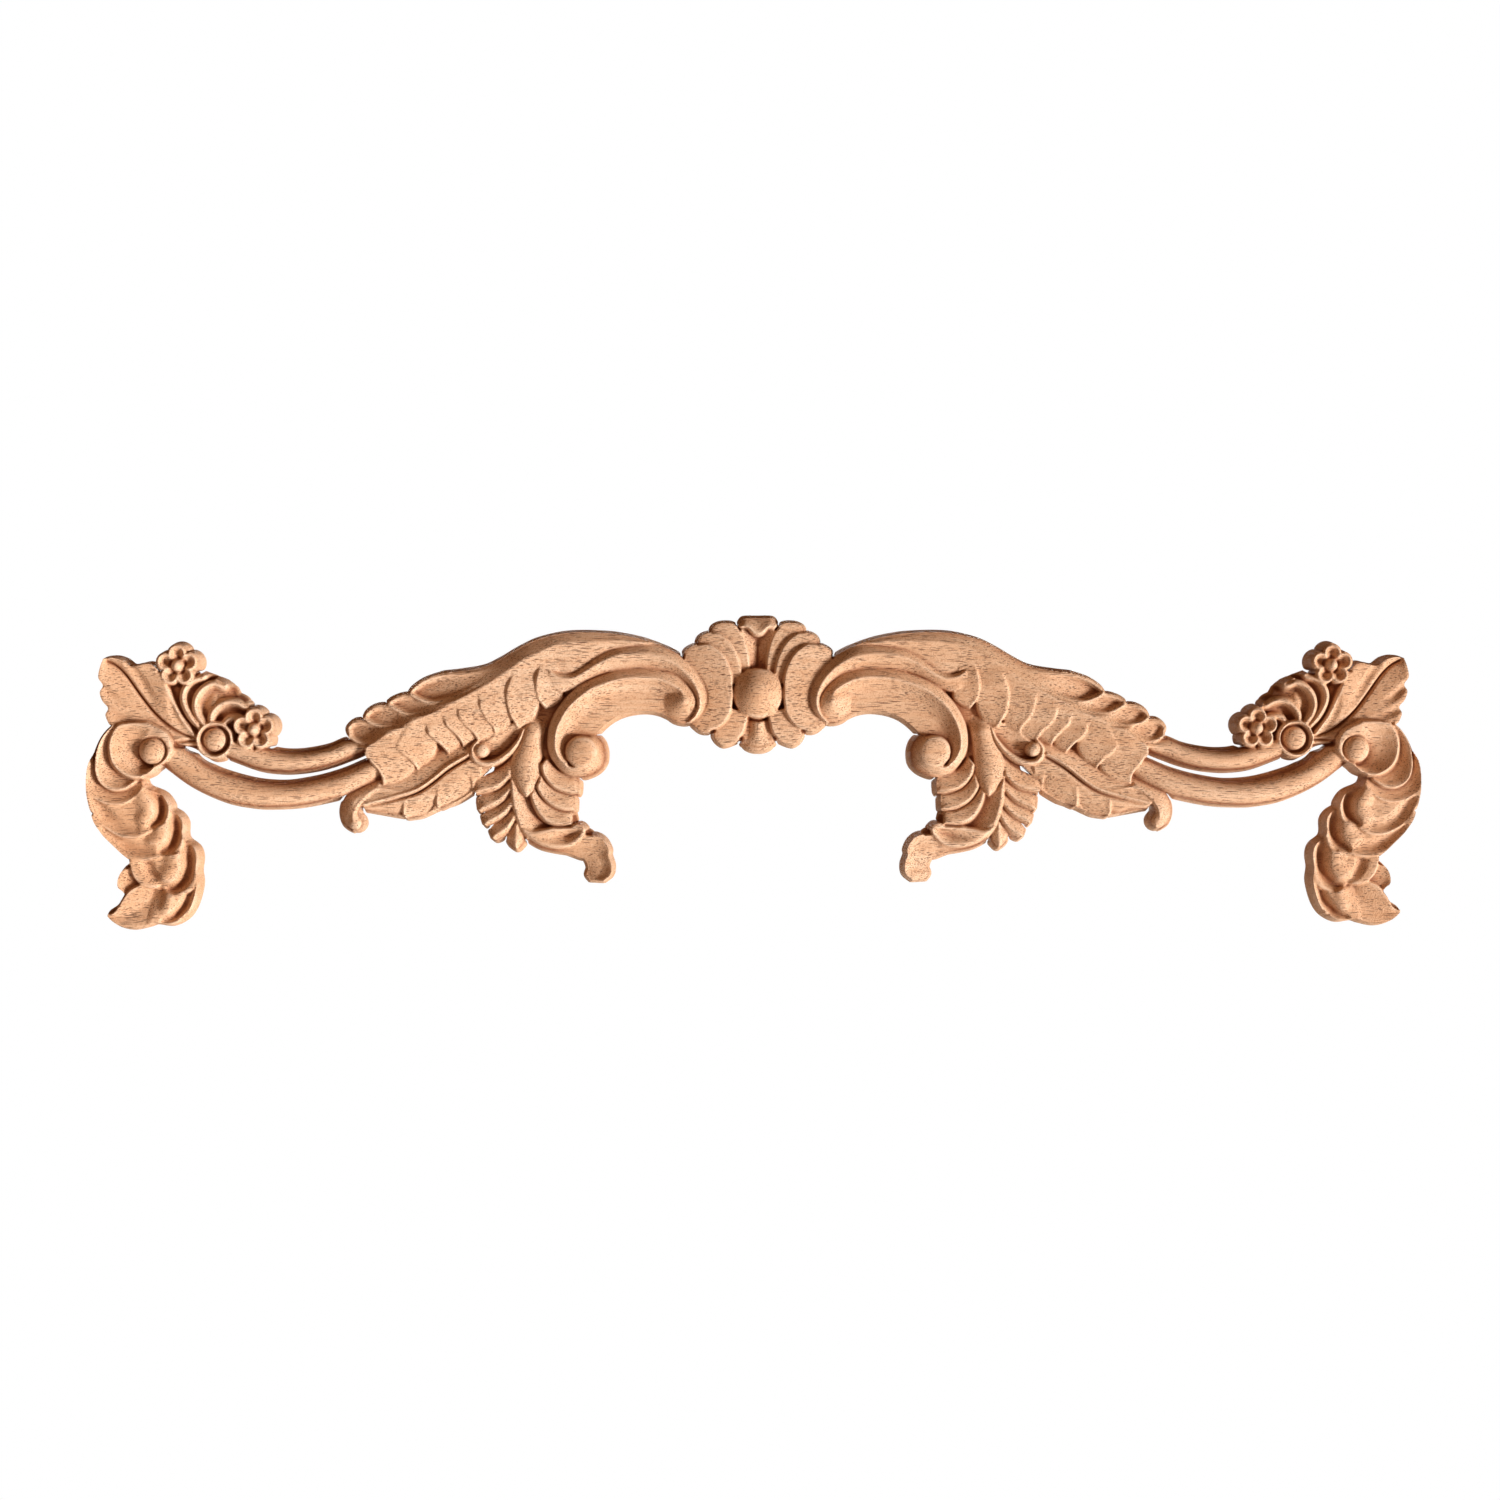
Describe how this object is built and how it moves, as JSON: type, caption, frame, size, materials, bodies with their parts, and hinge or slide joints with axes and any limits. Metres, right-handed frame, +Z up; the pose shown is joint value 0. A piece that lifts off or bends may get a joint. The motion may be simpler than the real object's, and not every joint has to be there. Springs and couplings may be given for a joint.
{
  "type": "carved wood applique",
  "caption": "Long arched wood applique with a central shell, acanthus leaves, scrolls, twin rails, small flowers and hanging leaf ends, flat at the back for fixing to furniture or a wall.",
  "frame": {"origin": "on the flat back face, behind the centre of the round boss in the shell", "axes": "+X along the length to the right seen from the front, +Z up, -Y out of the carved face towards the viewer, +Y out of the flat back"},
  "size_m": [0.8064, 0.0211, 0.1897],
  "materials": {
    "carved_wood": "unfinished, finely machined, matt"
  },
  "bodies": {
    "root": {"carved_applique": "carved_wood"}
  },
  "joints": []
}
